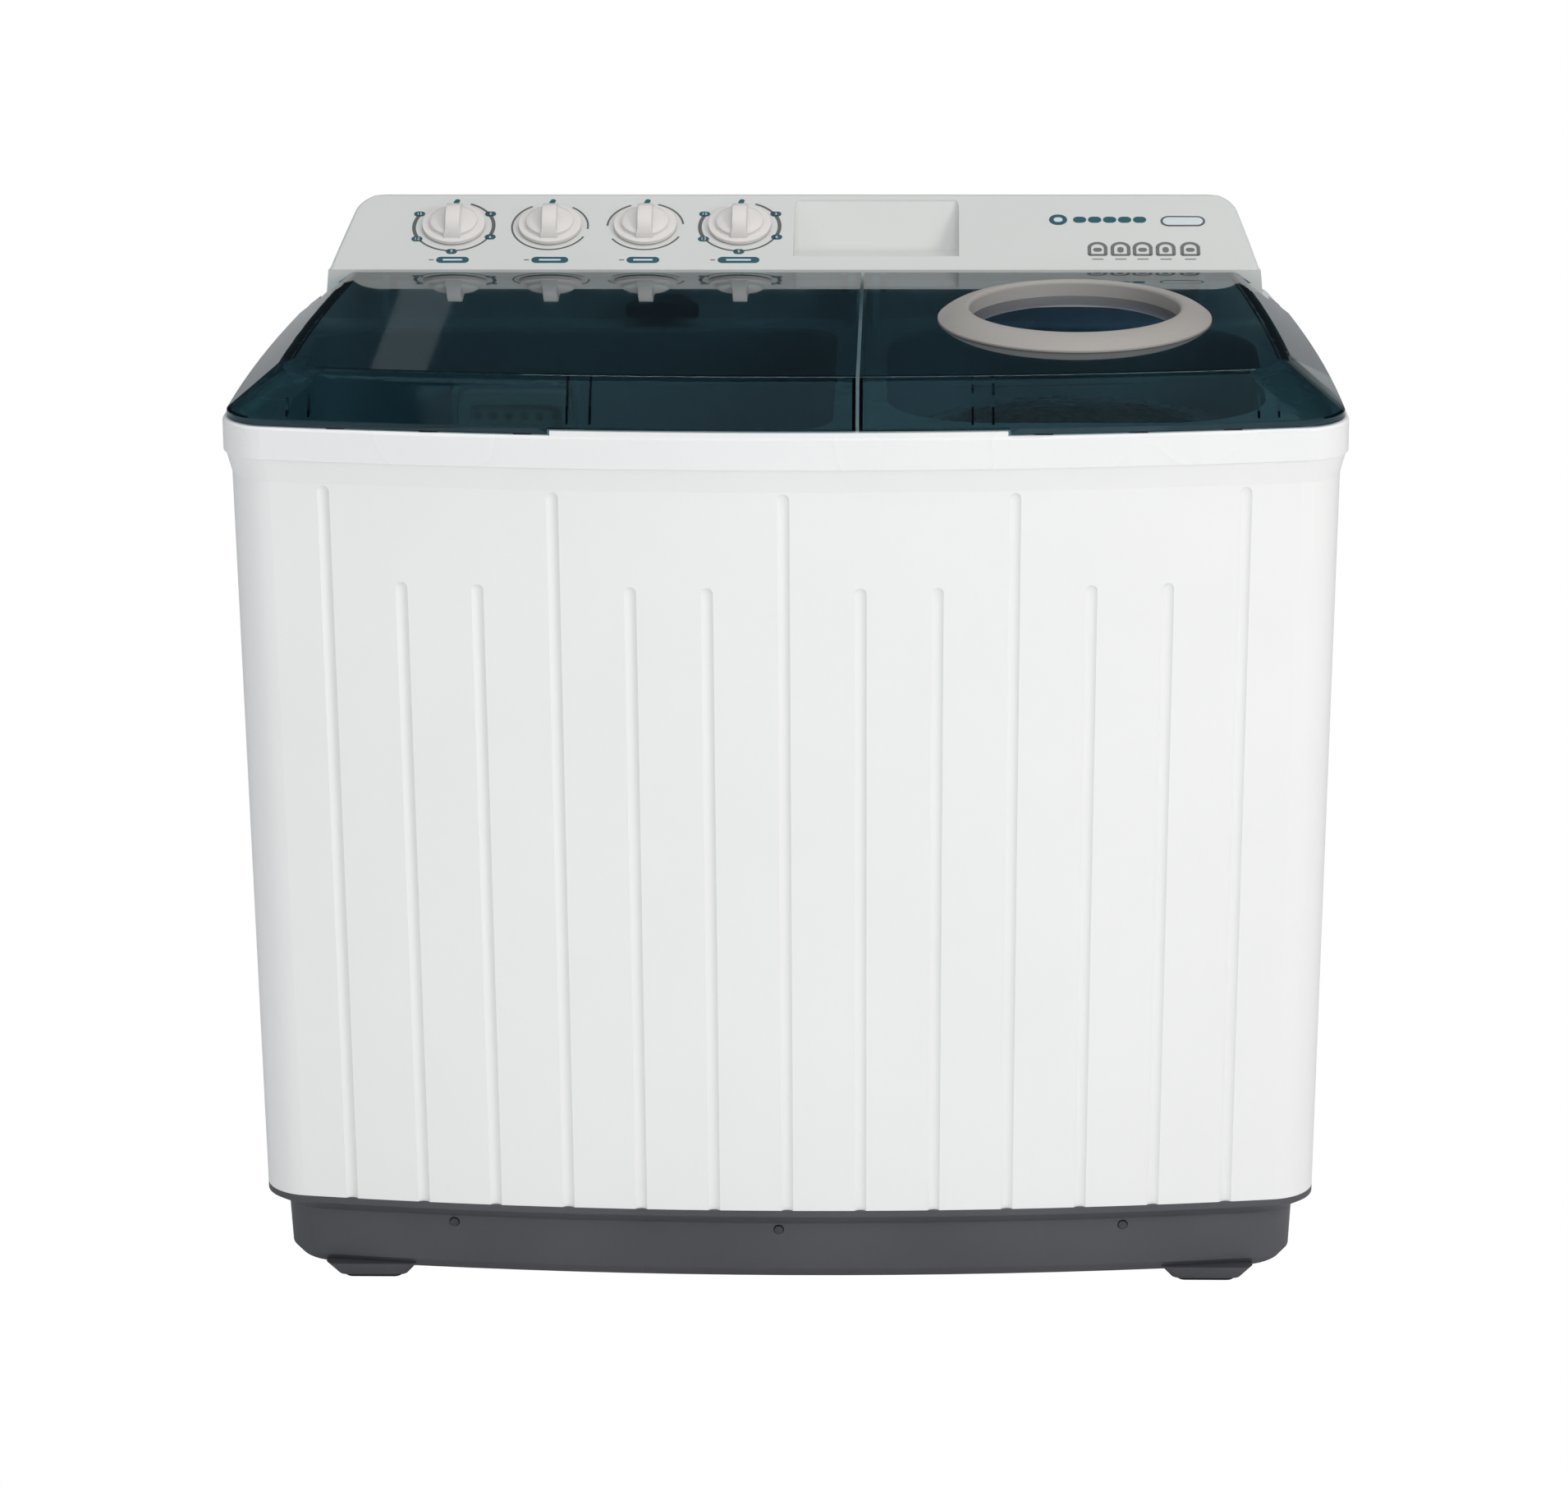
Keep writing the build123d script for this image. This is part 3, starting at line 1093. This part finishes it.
# ---------------------------------------------------------------- drain
VALVE_LOW, VALVE_HIGH = 255.0, 312.0
VALVE_RADIUS = 26.0
ROD_RADIUS = 4.0
ROD_TOP = 765.0                # stays under the deck when the rod is lifted
SPIN_HOSE_Z = 285.0
SPIN_HOSE_RADIUS = 12.0
with BuildPart() as drain_valve_body:
    with BuildSketch(Plane.XY.offset(VALVE_LOW)):
        with Locations((DRAIN_X, DRAIN_Y)):
            Circle(VALVE_RADIUS)
    extrude(amount=VALVE_HIGH - VALVE_LOW)
    with BuildSketch(Plane(origin=(DRAIN_X, 104, WASH_DRAIN_Z), z_dir=(0, 1, 0))):
        Circle(16)
    extrude(amount=DRAIN_Y - 104)
    with BuildSketch(Plane(origin=(DRAIN_X, DRAIN_Y, SPIN_HOSE_Z), z_dir=(1, 0, 0))):
        Circle(15)
    extrude(amount=VALVE_RADIUS + 12)
    with BuildSketch(Plane.XY.offset(VALVE_LOW + 4)):
        with Locations((DRAIN_X, DRAIN_Y)):
            Circle(VALVE_RADIUS - 4)
    extrude(amount=VALVE_HIGH - VALVE_LOW - 8, mode=Mode.SUBTRACT)
    with BuildSketch(Plane(origin=(DRAIN_X, 100, WASH_DRAIN_Z), z_dir=(0, 1, 0))):
        Circle(13)
    extrude(amount=DRAIN_Y - 100, mode=Mode.SUBTRACT)
    with BuildSketch(Plane(origin=(DRAIN_X, DRAIN_Y, SPIN_HOSE_Z), z_dir=(1, 0, 0))):
        Circle(SPIN_HOSE_RADIUS)
    extrude(amount=VALVE_RADIUS + 20, mode=Mode.SUBTRACT)
    with BuildSketch(Plane.XY.offset(VALVE_LOW - 1)):
        with Locations((DRAIN_X, DRAIN_Y)):
            Circle(13)
    extrude(amount=10, mode=Mode.SUBTRACT)
    with BuildSketch(Plane.XY.offset(VALVE_HIGH - 10)):
        with Locations((DRAIN_X, DRAIN_Y)):
            Circle(ROD_RADIUS + RUNNING_GAP)
    extrude(amount=20, mode=Mode.SUBTRACT)
finish(drain_valve_body, "drain_valve_body")

with BuildPart() as drain_valve_plug:
    with BuildSketch(Plane.XY.offset(VALVE_LOW + 4.3)):
        with Locations((DRAIN_X, DRAIN_Y)):
            Circle(18)
            Circle(ROD_RADIUS, mode=Mode.SUBTRACT)
    extrude(amount=10, taper=12)
finish(drain_valve_plug, "drain_valve_plug")

pull_rod_solid = shaft_solid(DRAIN_X, DRAIN_Y, ROD_RADIUS, VALVE_LOW + 4.3, ROD_TOP)
with BuildPart() as drain_pull_rod:
    add(pull_rod_solid)
finish(drain_pull_rod, "drain_pull_rod")

outlet_hose = hose(
    [(DRAIN_X, DRAIN_Y, VALVE_LOW), (DRAIN_X, DRAIN_Y, OUTLET_Z), (DRAIN_X, 279, OUTLET_Z)],
    30, DRAIN_HOSE_RADIUS, DRAIN_HOSE_RADIUS - 3,
)
with BuildPart() as drain_hose:
    add(outlet_hose)
finish(drain_hose, "drain_hose")

crossing_hose = hose(
    [(200, SPIN_Y + SPIN_SIZE / 2 - 2, 262), (200, DRAIN_Y, SPIN_HOSE_Z),
     (DRAIN_X + VALVE_RADIUS, DRAIN_Y, SPIN_HOSE_Z)],
    30, SPIN_HOSE_RADIUS, SPIN_HOSE_RADIUS - 3,
)
with BuildPart() as spin_drain_hose:
    add(crossing_hose)
finish(spin_drain_hose, "spin_drain_hose")
